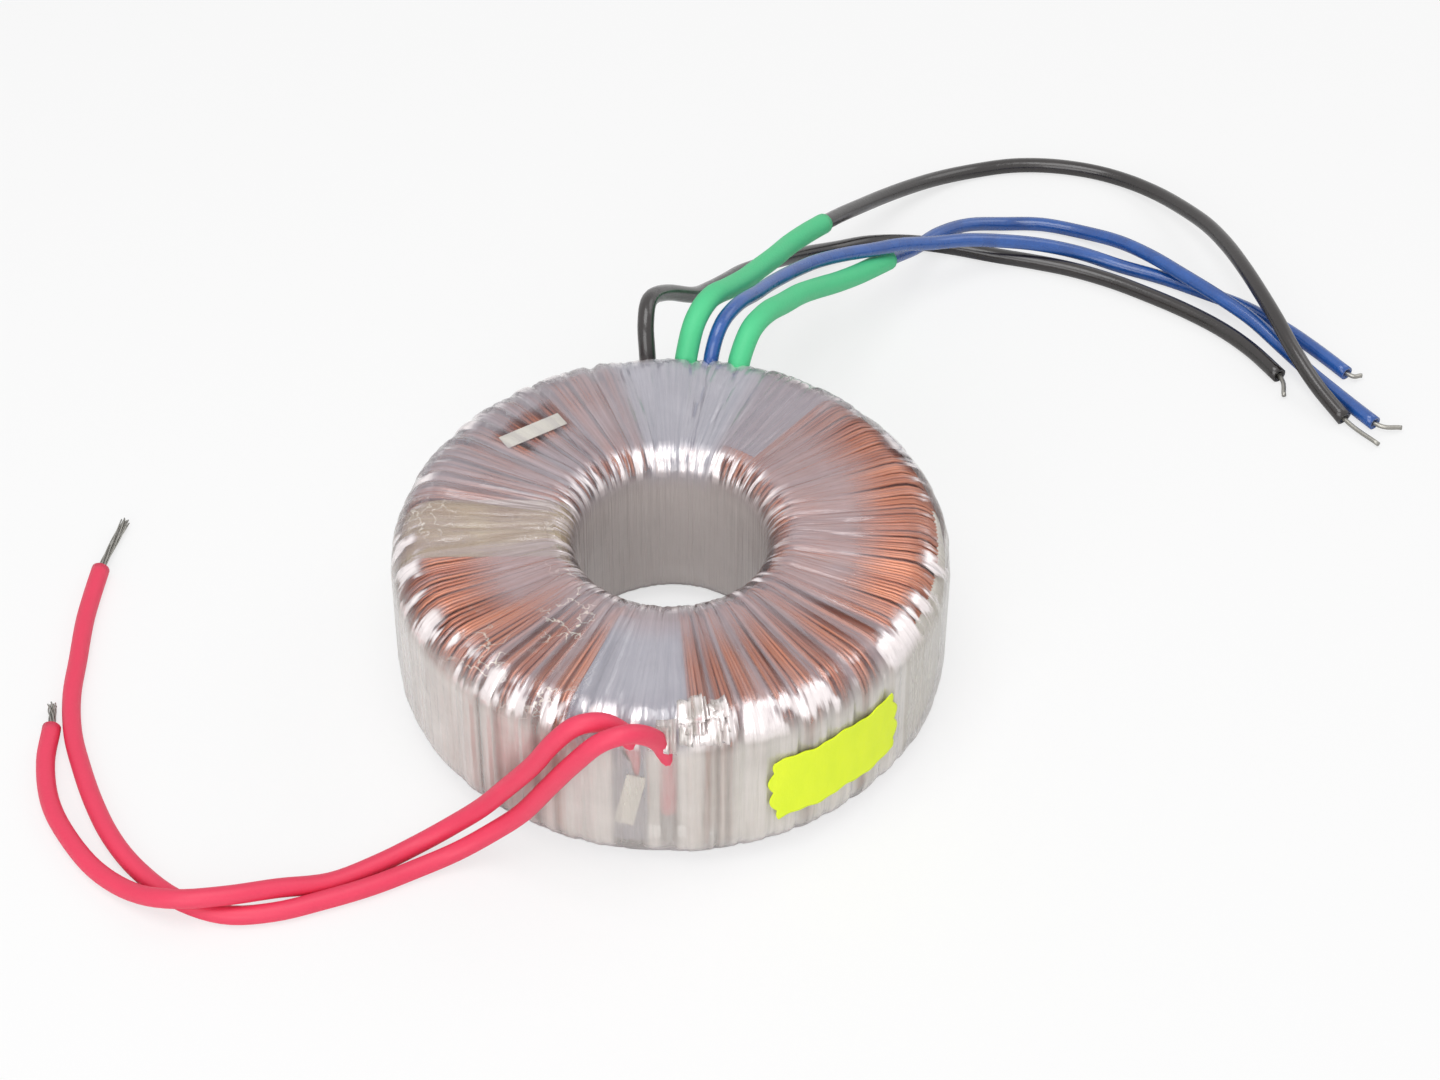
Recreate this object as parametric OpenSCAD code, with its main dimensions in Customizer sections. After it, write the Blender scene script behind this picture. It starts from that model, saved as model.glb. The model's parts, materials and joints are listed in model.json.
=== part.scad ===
// Toroidal mains transformer with free leads, lying flat on its side.
// +Z is the axis of the ring, the origin is the middle of its bottom face, and -Y is the side
// where the two primary leads come out. The secondary leads come out at +Y.

/* [Ring] */
// Outer diameter of the wrapped ring
outer_d = 76; // [70:1:90]
// Height of the wrapped ring
height = 27.5; // [25:0.5:36]
// Diameter of the hole through the wrapped ring
bore_d = 26; // [20:1:30]
// Radius of the two outer shoulders
rim_round = 6; // [4:0.5:7]
// Radius of the two shoulders at the hole
eye_round = 4.8; // [3:0.2:6]

/* [Film] */
// Thickness of the outer film where it is not lapped
film_t = 0.4; // [0.2:0.05:0.6]
// Extra thickness where one turn of film laps the next
lap_t = 0.2; // [0.1:0.05:0.3]
// Number of laps round the ring
lap_count = 20; // [12:1:30]
// Share of each pitch that the lap covers
lap_share = 0.6; // [0.3:0.05:0.8]
// Height of the lower edge of the laps on the outer wall
lap_foot = 7; // [6:0.5:10]

/* [Windings] */
// Build of each secondary winding on the outer wall
secondary_wall = 1.3; // [1.2:0.05:1.6]
// Build of each secondary winding in the hole
secondary_bore = 0.9; // [0.7:0.05:1.2]
// Build of each secondary winding on the two faces
secondary_face = 0.8; // [0.6:0.05:1.1]
// Turns that show on the outer secondary winding
turn_count = 96; // [60:2:100]
// Depth of the groove between two turns
turn_groove = 0.3; // [0.1:0.05:0.4]
// Build of the primary winding on the outer wall
primary_wall = 0.9; // [0.6:0.1:1.2]
// Build of the primary winding in the hole
primary_bore = 1.4; // [1:0.1:1.8]
// Build of the primary winding on the two faces
primary_face = 0.9; // [0.6:0.1:1.2]

/* [Insulation] */
// Thickness of the tape between the primary and the secondaries
interlayer_t = 0.3; // [0.2:0.05:0.4]
// Thickness of the tape round the core
core_wrap_t = 0.3; // [0.2:0.05:0.5]
// Thickness of the pads and the tape under the film
pad_t = 0.2; // [0.1:0.05:0.25]
// Thickness of the paper markers under the film
marker_t = 0.1; // [0.05:0.01:0.12]
// Distance of the pads' inner edges from the axis
pad_inner_r = 18; // [16:0.5:24]
// Height of the pads' lower edges
pad_foot = 5; // [3:0.5:10]
// Width of the anchor tape
anchor_w = 11; // [8:0.5:14]

/* [Labels] */
// Length of the sticker on the outer wall
sticker_w = 22; // [18:0.5:26]
// Height of the sticker
sticker_h = 11.5; // [9:0.5:13]
// Thickness of the sticker
sticker_t = 0.15; // [0.1:0.05:0.3]
// Number of bites in each short edge of the sticker
sticker_bites = 5; // [3:1:6]
// Height of the middle of the sticker
sticker_z = 14; // [13:0.5:15]
// Length of the paper marker on the top
marker_l = 9.5; // [7:0.5:12]
// Width of the paper markers
marker_w = 2.6; // [2:0.1:3.5]
// Height of the paper marker on the front wall
side_marker_h = 9.5; // [7:0.5:12]
// Height of the lower edge of the rating label
rating_foot = 4.5; // [3:0.5:6]
// Height of the upper edge of the rating label
rating_head = 24.5; // [20:0.5:25]

/* [Leads] */
// Diameter of the red primary leads
red_d = 2.6; // [2:0.1:2.6]
// Diameter of the strands in the red leads
strand_d = 1; // [0.6:0.1:1.2]
// Diameter of the black sleeves
black_d = 2.4; // [2:0.1:2.4]
// Diameter of the blue sleeves
blue_d = 2.2; // [1.8:0.1:2.4]
// Wall of the black and blue sleeves
sleeve_wall = 0.4; // [0.25:0.05:0.5]
// Diameter of the green outer sleeves
green_d = 3.2; // [3:0.1:3.4]
// Diameter of the wires in the sleeves
wire_d = 0.7; // [0.4:0.1:0.9]
// Diameter of the joints between the primary winding and the red leads
joint_d = 2.2; // [1.8:0.1:2.6]
// Length of each joint
joint_l = 5.5; // [4:0.5:7]

/* [Hidden] */
$fn = 96;

// Clearances: between layers, between the two secondaries, round a lead in its hole, in a sleeve
gap = 0.05;
ply_gap = 0.2;
hole_gap = 0.25;
sleeve_gap = 0.1;
// Least radius of an inner layer's corners
edge_round = 0.8;
// How far the laps reach into the film below them
lap_root = 0.1;
// Distance of the laps' inner edges from the shoulder at the hole
lap_inset = 1;
// Clearance between a lead's tail and the copper beside it
pocket_gap = 0.5;
// How far a hole's cutter runs past each end of its stretch of lead
cutter_run = 0.8;
// How far a conductor runs on below the start of its insulation
grip = 3;
// Chords in a quarter round of a wound section, of a turn of wire, and the angle between the
// stations of the turns' inner side
round_steps = 6;
turn_steps = 3;
inner_step = 6;
// Sides of the swept leads
sides = 8;

outer_r = outer_d / 2;
bore_r = bore_d / 2;

// A depth is how far a layer lies inside the finished ring: [wall, bore, top, bottom]
function even(t) = [t, t, t, t];
function build(wall, bore, face) = [wall, bore, face, face];
film_out = [lap_t, 0, lap_t, 0];
film_in = film_out + even(film_t);
marker_out = film_in + even(gap);
marker_in = marker_out + even(marker_t);
pad_out = marker_in + even(gap);
pad_in = pad_out + even(pad_t);
ply_2_out = pad_in + even(gap);
ply_2_in = ply_2_out + build(secondary_wall, secondary_bore, secondary_face);
ply_1_out = ply_2_in + even(ply_gap);
ply_1_in = ply_1_out + build(secondary_wall, secondary_bore, secondary_face);
interlayer_out = ply_1_in + even(gap);
interlayer_in = interlayer_out + even(interlayer_t);
primary_out = interlayer_in + even(gap);
primary_in = primary_out + build(primary_wall, primary_bore, primary_face);
wrap_out = primary_in + even(gap);
wrap_in = wrap_out + even(core_wrap_t);
core_out = wrap_in + even(gap);

// Lead routes, hand laid for a ring of this rim radius and height. A height of 0 lies on the table.
route_rim = 38;
route_height = 27.5;
red_route_1 = [
    [-4.3, -35.3, 10], [-4.3, -35.3, 15.5], [-4.6, -35.5, 20.5], [-6, -36.2, 24.8],
    [-8.8, -36.8, 27.6], [-12.2, -37.4, 27.6], [-15.2, -37.4, 24.4], [-18, -36.8, 19.5],
    [-21.5, -35.3, 13.8], [-25, -34, 8.5], [-29, -33.5, 4.5], [-33.5, -34.5, 2],
    [-39, -37.5, 0], [-45, -40.5, 0], [-51.5, -42.7, 2.8], [-58, -45, 4.1],
    [-64.5, -45.5, 4.1], [-70.5, -42.5, 2], [-76, -38, 0], [-80.5, -32, 0],
    [-83.5, -26, 0], [-85, -19, 0], [-85, -12.5, 0]];
red_route_2 = [
    [-0.5, -35.7, 10], [-0.5, -35.7, 15], [-0.6, -35.9, 19], [-1.4, -36.9, 23.5],
    [-3.2, -38.4, 26.8], [-5.8, -39.8, 28.6], [-9.2, -40.2, 27.4], [-12.4, -39.4, 23],
    [-15.8, -38, 17], [-19.5, -36.6, 10.4], [-23.5, -36, 6], [-28.5, -36.5, 2.6],
    [-34, -38.5, 1.4], [-39.5, -41.2, 0], [-45.5, -43.5, 0], [-52, -45.5, 0],
    [-58.5, -45.8, 0], [-65, -43, 0], [-70.5, -38, 0], [-74.5, -32.5, 0],
    [-77.5, -26.5, 0], [-80, -20, 0], [-82, -13.5, 0], [-83, -6.5, 0],
    [-83, 0.5, 0], [-83, 7.5, 0], [-82.6, 13, 0], [-82, 18.5, 0]];
black_route_1 = [
    [-3, 35.5, 9], [-3, 35.5, 15], [-3, 35.5, 20.5], [-3.2, 36, 26.2],
    [-3.4, 38.4, 30], [-2.8, 42.4, 31.2], [-0.4, 47.8, 28], [3.5, 54, 22.4],
    [6, 59.2, 19.2], [8.5, 64.5, 16.4], [11, 70, 13.6], [14, 75, 10.8],
    [17.5, 80.2, 7.8], [21.5, 85, 5], [26.5, 89.2, 2.6], [32, 92, 1.5],
    [38.5, 92.5, 0], [45, 91.2, 0], [51.5, 89.2, 0], [58, 87.4, 0],
    [64, 85.4, 0], [70, 82.5, 0], [75.5, 79, 0], [81, 75, 0],
    [86, 70.5, 0], [90, 65.5, 0], [93.5, 59.5, 0]];
black_route_2 = [
    [2, 35.5, 9], [2, 35.5, 15], [2, 35.5, 20.5], [2.2, 35.75, 23.4],
    [2.4, 36, 26.2], [3.6, 38.8, 30], [5.8, 43.4, 30.6], [8.8, 49.6, 27.4],
    [11.2, 55, 24.6], [13.5, 60.2, 22.4], [15.8, 65.4, 20.2], [18.2, 71, 18],
    [21, 76.5, 15.8], [24, 82, 13.4], [27, 87.5, 10.8], [30.5, 93, 8.2],
    [34.5, 98.5, 5.8], [39, 103.5, 3.8], [44, 107.8, 2.2], [50, 111, 0],
    [56.5, 112.4, 0], [63, 112.3, 0], [69.5, 110.8, 0], [75, 107.8, 1.5],
    [79.5, 103.2, 2.4], [83, 97.8, 3.6], [86, 92, 4.8], [88.2, 85.8, 5.8],
    [90, 79.5, 6.4], [91.8, 73.2, 6.4], [93.6, 67, 6], [95.6, 61, 4.8],
    [98.5, 55.2, 2.8], [102, 49.5, 0]];
blue_route_1 = [
    [5.5, 35.1, 9], [5.5, 35.1, 15], [5.5, 35.1, 20.5], [6, 36, 26.4],
    [7.4, 39, 29.4], [9.8, 43.6, 29.2], [12.6, 49, 26.8], [15.2, 54.4, 24.4],
    [18.4, 59.8, 22], [22, 65, 19.6], [26.2, 69.8, 17], [31, 74.2, 14.4],
    [36, 78.2, 12.2], [41.2, 81.8, 9.6], [46.8, 85, 7.6], [52.8, 87.2, 5.6],
    [59, 88.2, 4], [65.5, 88, 2.4], [72, 86.2, 0], [78.4, 83.2, 0],
    [84.5, 79.6, 0], [90.4, 75.8, 0], [95.6, 71, 0], [100, 65.6, 0], [104, 60, 0]];
blue_route_2 = [
    [9.5, 34.2, 9], [9.5, 34.2, 15], [9.5, 34.2, 20.5], [9.75, 34.7, 23.4],
    [10, 35.2, 26.2], [11.6, 38.4, 28.8], [14, 43.2, 28], [16.6, 48.6, 25.2],
    [19.2, 53.8, 22.6], [22, 58.8, 19.6], [25.2, 64, 16.4], [28.6, 69.2, 13.6],
    [32, 74.6, 11], [34, 77.8, 9.5], [35.6, 80.4, 8.2], [39, 85.2, 6],
    [43, 90.2, 4.8], [48, 94.6, 3], [54, 97.2, 0], [60.2, 97, 0],
    [66.5, 94.6, 1.4], [72, 90.8, 2.4], [76.6, 85.8, 3.4], [81, 80.6, 3.8],
    [85.6, 75.6, 3.8], [90.4, 70.6, 3.2], [94.6, 65.4, 2], [98.6, 60, 0],
    [102.5, 54.2, 0], [106.5, 48.5, 0]];
red_tips = [[-85.6, -7.9, 0.9], [-79.7, 28.9, 0.9]];
black_tips = [[93.7, 55.2, 0.9], [106.4, 44, 0.9]];
blue_tips = [[106.3, 59.7, 0.9], [110.5, 47.7, 0.9]];
// The green sleeves run from the holes to these points of their routes
green_start = 3;
green_end = 13;
// The bend below the film, which every lead has at this point of its route
bend = 2;

// A route moved to this ring's rim and height, with its low points on the table
function laid(route, d, side) = [
    for (p = route)
        [p.x, p.y + side * (outer_r - route_rim), max(p.z * height / route_height, d / 2)]];
function at_front(p) = p + [0, route_rim - outer_r, 0];
function at_back(p) = p + [0, outer_r - route_rim, 0];
red_paths = [laid(red_route_1, red_d, -1), laid(red_route_2, red_d, -1)];
black_paths = [laid(black_route_1, black_d, 1), laid(black_route_2, black_d, 1)];
blue_paths = [laid(blue_route_1, blue_d, 1), laid(blue_route_2, blue_d, 1)];

// Angles from +X where the secondaries stop, so that the leads' tails have a pocket
pocket_r = outer_r - interlayer_out[0];
function pocket_angle(x, d) = asin((abs(x) + d / 2 + pocket_gap) / pocket_r);
front_gap = [
    -90 - pocket_angle(red_paths[0][bend + 1].x, red_d),
    -90 + pocket_angle(red_paths[1][0].x, red_d)];
back_gap = [
    90 - pocket_angle(blue_paths[1][0].x, blue_d),
    90 + pocket_angle(black_paths[0][0].x, black_d)];

// Angles from +X of what lies under and on the film
primary_pad_arc = [-112, -86.5];
primary_pad_skirt_arc = [-112, -95];
secondary_pad_arc = [50, 98];
rating_arc = [-35, 8];
anchor_angle = 180;
sticker_angle = -54.5;
sticker_tilt = 5;
side_marker_angle = -98.5;
side_marker_z = 13;
side_marker_tilt = -11;
top_marker_angle = 134.5;
top_marker_r = 27.2;
top_marker_turn = 32;

// Wound sections: [centre, radius, first angle] of each corner, clockwise from the top of the hole
function corner_round(shoulder, side, face) = max(edge_round, shoulder - min(side, face));
function corners(depth) = let (
    left = bore_r + depth[1],
    right = outer_r - depth[0],
    top = height - depth[2],
    low = depth[3],
    a = corner_round(eye_round, depth[1], depth[2]),
    b = corner_round(rim_round, depth[0], depth[2]),
    c = corner_round(rim_round, depth[0], depth[3]),
    d = corner_round(eye_round, depth[1], depth[3]))
    [[[left + a, top - a], a, 180], [[right - b, top - b], b, 90],
     [[right - c, low + c], c, 0], [[left + d, low + d], d, -90]];
function contour(depth, steps) = [
    for (c = corners(depth), j = [0 : steps])
        let (a = c[2] - 90 * j / steps)
        c[0] + c[1] * [cos(a), sin(a)]];

module section(depth) {
    polygon(contour(depth, round_steps));
}

module layer_section(outer, inner) {
    difference() {
        section(outer);
        section(inner);
    }
}

// A layer of the ring between two angles, all of its section or the part that the child leaves
module layer_arc(outer, inner, arc) {
    rotate([0, 0, arc[0]])
        rotate_extrude(angle = arc[1] - arc[0])
            if ($children > 0)
                intersection() {
                    layer_section(outer, inner);
                    children();
                }
            else
                layer_section(outer, inner);
}

// The part of a section outside a radius, between two heights
module outside_of(inner, foot, head) {
    translate([inner, foot])
        square([outer_d, head - foot]);
}

// A flat outline wrapped on the outer wall
module wall_sheet(r_out, r_in, angle, z, tilt) {
    intersection() {
        difference() {
            cylinder(h = height, r = r_out);
            translate([0, 0, -1])
                cylinder(h = height + 2, r = r_in);
        }
        rotate([0, 0, angle])
            translate([r_in * 0.8, 0, z])
                rotate([90, 0, 90])
                    rotate(tilt)
                        linear_extrude(r_out)
                            children();
    }
}

// A round cutter along each stretch of a path
module cutter(path, r) {
    for (i = [0 : len(path) - 2]) {
        d = path[i + 1] - path[i];
        translate(path[i])
            rotate([0, acos(d.z / norm(d)), atan2(d.y, d.x)])
                translate([0, 0, -cutter_run])
                    cylinder(h = norm(d) + 2 * cutter_run, r = r);
    }
}

module front_cutters() {
    for (path = red_paths)
        cutter(part_of(path, bend - 1, bend + 2), red_d / 2 + hole_gap);
}

module back_cutters() {
    cutter(part_of(black_paths[0], bend, bend + 2), black_d / 2 + hole_gap);
    cutter(part_of(blue_paths[0], bend, bend + 2), blue_d / 2 + hole_gap);
    for (path = [black_paths[1], blue_paths[1]])
        cutter([path[bend], path[green_start + 1], path[green_start + 2]], green_d / 2 + hole_gap);
}

// Faces of walls and caps between rows of s points, seen clockwise from outside
function wall_faces(base, rows, s, flip) = [
    for (i = [0 : rows - 2], k = [0 : s - 1])
        let (a = base + i * s + k, b = base + i * s + (k + 1) % s, c = b + s, d = a + s)
        each (flip ? [[a, c, d], [a, b, c]] : [[a, d, c], [a, c, b]])];
function ring_cap(outer, inner, s, flip) = [
    for (k = [0 : s - 1])
        let (j = (k + 1) % s)
        each (flip
            ? [[outer + k, inner + j, outer + j], [outer + k, inner + k, inner + j]]
            : [[outer + k, outer + j, inner + j], [outer + k, inner + j, inner + k]])];
function hollow_faces(s, rows_out, rows_in) = let (base = s * rows_out) concat(
    wall_faces(0, rows_out, s, false),
    wall_faces(base, rows_in, s, true),
    ring_cap(0, base, s, false),
    ring_cap(s * (rows_out - 1), base + s * (rows_in - 1), s, true));

// Rings square to a path, carried along it without twist
function unit(v) = v / norm(v);
function headings(path) = [
    for (i = [0 : len(path) - 1])
        unit(path[min(i + 1, len(path) - 1)] - path[max(i - 1, 0)])];
function carried(heading, last, i = 0) = i == len(heading) ? [] :
    let (n = unit(last - (last * heading[i]) * heading[i]))
    concat([n], carried(heading, n, i + 1));
function rings(path, r) = let (t = headings(path), n = carried(t, [1, 0, 0])) [
    for (i = [0 : len(path) - 1], k = [0 : sides - 1])
        let (a = 360 * k / sides)
        path[i] + r * (cos(a) * n[i] + sin(a) * cross(t[i], n[i]))];
function part_of(path, from, to) = [for (i = [from : to]) path[i]];

module tube(path, d, bore) {
    polyhedron(
        points = concat(rings(path, d / 2), rings(path, bore / 2)),
        faces = hollow_faces(sides, len(path), len(path)));
}

module rod(path, d) {
    last = sides * (len(path) - 1);
    polyhedron(
        points = rings(path, d / 2),
        faces = concat(
            wall_faces(0, len(path), sides, false),
            [[for (k = [0 : sides - 1]) k], [for (k = [sides - 1 : -1 : 0]) last + k]]));
}

// A conductor that runs from below its insulation to its bare tip
module conductor(path, tip, d) {
    rod(concat([path[0] - [0, 0, grip]], path, [tip]), d);
}

module core() {
    color("slategray")
        rotate_extrude()
            section(core_out);
}

module core_wrap() {
    color("khaki")
        rotate_extrude()
            layer_section(wrap_out, wrap_in);
}

module primary_winding() {
    color("peru")
        rotate_extrude()
            layer_section(primary_out, primary_in);
}

module interlayer_wrap() {
    color("thistle")
        rotate_extrude()
            layer_section(interlayer_out, interlayer_in);
}

// The two banks of a secondary, left and right of the leads
left_bank = [back_gap[1], 360 + front_gap[0]];
right_bank = [front_gap[1], back_gap[0]];

module secondary_winding_1() {
    color("sienna")
        for (bank = [left_bank, right_bank])
            layer_arc(ply_1_out, ply_1_in, bank);
}

function station(angle, outline) = [
    for (p = outline) [p.x * cos(angle), p.x * sin(angle), p.y]];

// One bank of turns: each turn is a ridge round the section, with a groove on both sides
module turn_bank(arc) {
    span = arc[1] - arc[0];
    turns = round(turn_count * span / 360);
    rows_out = 2 * turns + 1;
    rows_in = ceil(span / inner_step) + 1;
    ridge = contour(ply_2_out, turn_steps);
    groove = contour(ply_2_out + even(turn_groove), turn_steps);
    inside = contour(ply_2_in, turn_steps);
    polyhedron(
        points = concat(
            [for (i = [0 : rows_out - 1])
                each station(arc[0] + span * i / (rows_out - 1), i % 2 == 0 ? groove : ridge)],
            [for (i = [0 : rows_in - 1])
                each station(arc[0] + span * i / (rows_in - 1), inside)]),
        faces = hollow_faces(len(ridge), rows_out, rows_in));
}

module secondary_winding_2() {
    color("chocolate") {
        turn_bank(left_bank);
        turn_bank(right_bank);
    }
}

module primary_pad() {
    color("lightsteelblue")
        difference() {
            union() {
                layer_arc(pad_out, pad_in, primary_pad_arc)
                    outside_of(pad_inner_r, height - rim_round, height);
                layer_arc(pad_out, pad_in, primary_pad_skirt_arc)
                    outside_of(pad_inner_r, pad_foot, height - rim_round);
            }
            front_cutters();
        }
}

module secondary_pad() {
    color("lightsteelblue")
        difference() {
            layer_arc(pad_out, pad_in, secondary_pad_arc)
                outside_of(pad_inner_r, pad_foot, height);
            back_cutters();
        }
}

module anchor_tape() {
    color("moccasin")
        intersection() {
            rotate_extrude()
                layer_section(pad_out, pad_in);
            rotate([0, 0, anchor_angle])
                translate([0, -anchor_w / 2, 0])
                    cube([outer_d, anchor_w, height]);
        }
}

module rating_label() {
    color("ivory")
        layer_arc(pad_out, pad_in, rating_arc)
            outside_of(outer_r - rim_round, rating_foot, rating_head);
}

module top_marker() {
    color("white")
        rotate([0, 0, top_marker_angle])
            translate([top_marker_r, 0, height - marker_in[2]])
                rotate([0, 0, top_marker_turn - top_marker_angle])
                    translate([-marker_l / 2, -marker_w / 2, 0])
                        cube([marker_l, marker_w, marker_t]);
}

module side_marker() {
    color("oldlace")
        wall_sheet(outer_r - marker_out[0], outer_r - marker_in[0],
            side_marker_angle, side_marker_z, side_marker_tilt)
            square([marker_w, side_marker_h], center = true);
}

module outer_wrap() {
    lap_pitch = 360 / lap_count;
    color("plum", 0.4)
        difference() {
            union() {
                rotate_extrude()
                    layer_section(film_out, film_in);
                for (i = [0 : lap_count - 1])
                    layer_arc(even(0), even(lap_t + lap_root),
                        [i * lap_pitch, (i + lap_share) * lap_pitch])
                        outside_of(bore_r + eye_round + lap_inset, lap_foot, height);
            }
            front_cutters();
            back_cutters();
        }
}

module sticker_outline() {
    bite = sticker_h / sticker_bites;
    difference() {
        square([sticker_w, sticker_h], center = true);
        for (side = [-1, 1], i = [0 : sticker_bites - 1])
            translate([side * sticker_w / 2, (i + 0.5) * bite - sticker_h / 2])
                circle(bite / 4);
    }
}

module seal_sticker() {
    color("greenyellow")
        wall_sheet(outer_r + gap + sticker_t, outer_r + gap, sticker_angle, sticker_z, sticker_tilt)
            sticker_outline();
}

// A soldered joint below the start of a red lead, with the strands' end in it
module primary_joint(i) {
    start = red_paths[i][0];
    color("silver")
        translate([start.x, start.y, start.z - joint_l])
            difference() {
                cylinder(h = joint_l, d = joint_d);
                translate([0, 0, joint_l - grip - gap])
                    cylinder(h = grip + 1, d = strand_d + 2 * sleeve_gap);
            }
}

module red_lead(i) {
    color("crimson")
        tube(red_paths[i], red_d, strand_d + 2 * sleeve_gap);
}

module red_strands(i) {
    color("silver")
        conductor(red_paths[i], at_front(red_tips[i]), strand_d);
}

module black_sleeve(i) {
    color("black")
        tube(black_paths[i], black_d, black_d - 2 * sleeve_wall);
}

module black_wire(i) {
    color("silver")
        conductor(black_paths[i], at_back(black_tips[i]), wire_d);
}

module blue_sleeve(i) {
    color("royalblue")
        tube(blue_paths[i], blue_d, blue_d - 2 * sleeve_wall);
}

module blue_wire(i) {
    color("silver")
        conductor(blue_paths[i], at_back(blue_tips[i]), wire_d);
}

// The first green sleeve is on the second black lead, the other on the second blue lead
module green_sleeve(i) {
    path = [black_paths[1], blue_paths[1]][i];
    inner_d = [black_d, blue_d][i] + 2 * sleeve_gap;
    color("mediumseagreen")
        tube(part_of(path, green_start, green_end), green_d, inner_d);
}

core();
core_wrap();
primary_winding();
interlayer_wrap();
secondary_winding_1();
secondary_winding_2();
primary_pad();
secondary_pad();
anchor_tape();
rating_label();
top_marker();
side_marker();
outer_wrap();
seal_sticker();
for (i = [0, 1]) {
    primary_joint(i);
    red_lead(i);
    red_strands(i);
    black_sleeve(i);
    blue_sleeve(i);
    green_sleeve(i);
    black_wire(i);
    blue_wire(i);
}
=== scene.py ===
"""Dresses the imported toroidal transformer: film, copper turns, pads, labels and its six free leads.

Every piece is in metres in the part's own frame. The ring lies on the floor with +Z as its axis and
the red primary leads at -Y. Angles round the ring are counted from +X, anticlockwise from above.
"""

from __future__ import annotations

import json
import logging
import math
from dataclasses import dataclass, field
from enum import Enum

import bpy
import numpy as np
from mathutils import Matrix, Vector

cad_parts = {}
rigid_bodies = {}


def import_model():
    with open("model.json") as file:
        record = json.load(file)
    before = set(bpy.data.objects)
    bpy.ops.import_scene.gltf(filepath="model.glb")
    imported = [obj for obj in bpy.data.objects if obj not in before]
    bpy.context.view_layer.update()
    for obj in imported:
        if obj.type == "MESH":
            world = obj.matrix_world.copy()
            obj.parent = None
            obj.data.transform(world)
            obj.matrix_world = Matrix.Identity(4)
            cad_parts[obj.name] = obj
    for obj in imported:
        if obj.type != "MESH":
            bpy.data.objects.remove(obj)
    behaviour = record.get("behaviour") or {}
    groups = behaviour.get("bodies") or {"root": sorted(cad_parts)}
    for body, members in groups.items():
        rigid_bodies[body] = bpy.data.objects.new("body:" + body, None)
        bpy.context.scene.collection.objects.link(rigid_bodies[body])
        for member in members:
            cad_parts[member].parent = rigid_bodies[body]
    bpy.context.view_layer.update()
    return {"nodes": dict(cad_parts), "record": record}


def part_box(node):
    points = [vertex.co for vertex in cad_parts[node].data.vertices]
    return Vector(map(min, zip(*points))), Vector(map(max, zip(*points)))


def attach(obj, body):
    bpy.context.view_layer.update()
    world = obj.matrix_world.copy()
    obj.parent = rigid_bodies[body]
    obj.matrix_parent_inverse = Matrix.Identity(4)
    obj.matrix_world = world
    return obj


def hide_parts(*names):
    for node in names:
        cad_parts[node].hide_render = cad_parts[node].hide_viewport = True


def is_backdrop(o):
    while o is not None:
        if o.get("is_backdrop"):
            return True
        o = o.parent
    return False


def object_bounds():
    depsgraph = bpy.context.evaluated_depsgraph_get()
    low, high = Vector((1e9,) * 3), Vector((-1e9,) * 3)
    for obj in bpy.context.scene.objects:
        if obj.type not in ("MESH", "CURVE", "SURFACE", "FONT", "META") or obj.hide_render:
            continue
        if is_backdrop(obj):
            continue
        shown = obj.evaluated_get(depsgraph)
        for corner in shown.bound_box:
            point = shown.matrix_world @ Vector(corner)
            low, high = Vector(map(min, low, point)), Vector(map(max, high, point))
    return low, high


LOG = logging.getLogger("transformer")
MM = 0.001
Colour = tuple[float, float, float]


def srgb(red: int, green: int, blue: int) -> Colour:
    """Turns a display colour of 0 to 255 into the linear values that a shader takes.

    Args:
        red: The red level.
        green: The green level.
        blue: The blue level.

    Returns:
        The linear colour.
    """
    levels = (level / 255 for level in (red, green, blue))
    return tuple(v / 12.92 if v <= 0.04045 else ((v + 0.055) / 1.055) ** 2.4 for v in levels)


# ---------------------------------------------------------------------------------------------
# Shader expressions
# ---------------------------------------------------------------------------------------------


class Value:
    """A shader output that takes part in Python arithmetic as Math nodes."""

    def __init__(self, nodes: Nodes, socket: bpy.types.NodeSocket) -> None:
        """Keeps the output and the node tree that it belongs to."""
        self.nodes = nodes
        self.socket = socket

    def _math(self, operation: str, first: Value | float, second: Value | float) -> Value:
        """Adds one Math node."""
        return self.nodes.add("ShaderNodeMath", {"operation": operation}, {0: first, 1: second})

    def __add__(self, other: Value | float) -> Value:
        """Adds two values."""
        return self._math("ADD", self, other)

    __radd__ = __add__

    def __sub__(self, other: Value | float) -> Value:
        """Subtracts a value from this one."""
        return self._math("SUBTRACT", self, other)

    def __rsub__(self, other: Value | float) -> Value:
        """Subtracts this value from another."""
        return self._math("SUBTRACT", other, self)

    def __mul__(self, other: Value | float) -> Value:
        """Multiplies two values."""
        return self._math("MULTIPLY", self, other)

    __rmul__ = __mul__

    def __truediv__(self, other: Value | float) -> Value:
        """Divides this value by another."""
        return self._math("DIVIDE", self, other)

    def __pow__(self, power: float) -> Value:
        """Raises this value to a power."""
        return self._math("POWER", self, power)

    def clamped(self, low: float = 0.0, high: float = 1.0) -> Value:
        """Keeps the value between two limits."""
        return self._math("MINIMUM", self._math("MAXIMUM", self, low), high)


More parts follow.
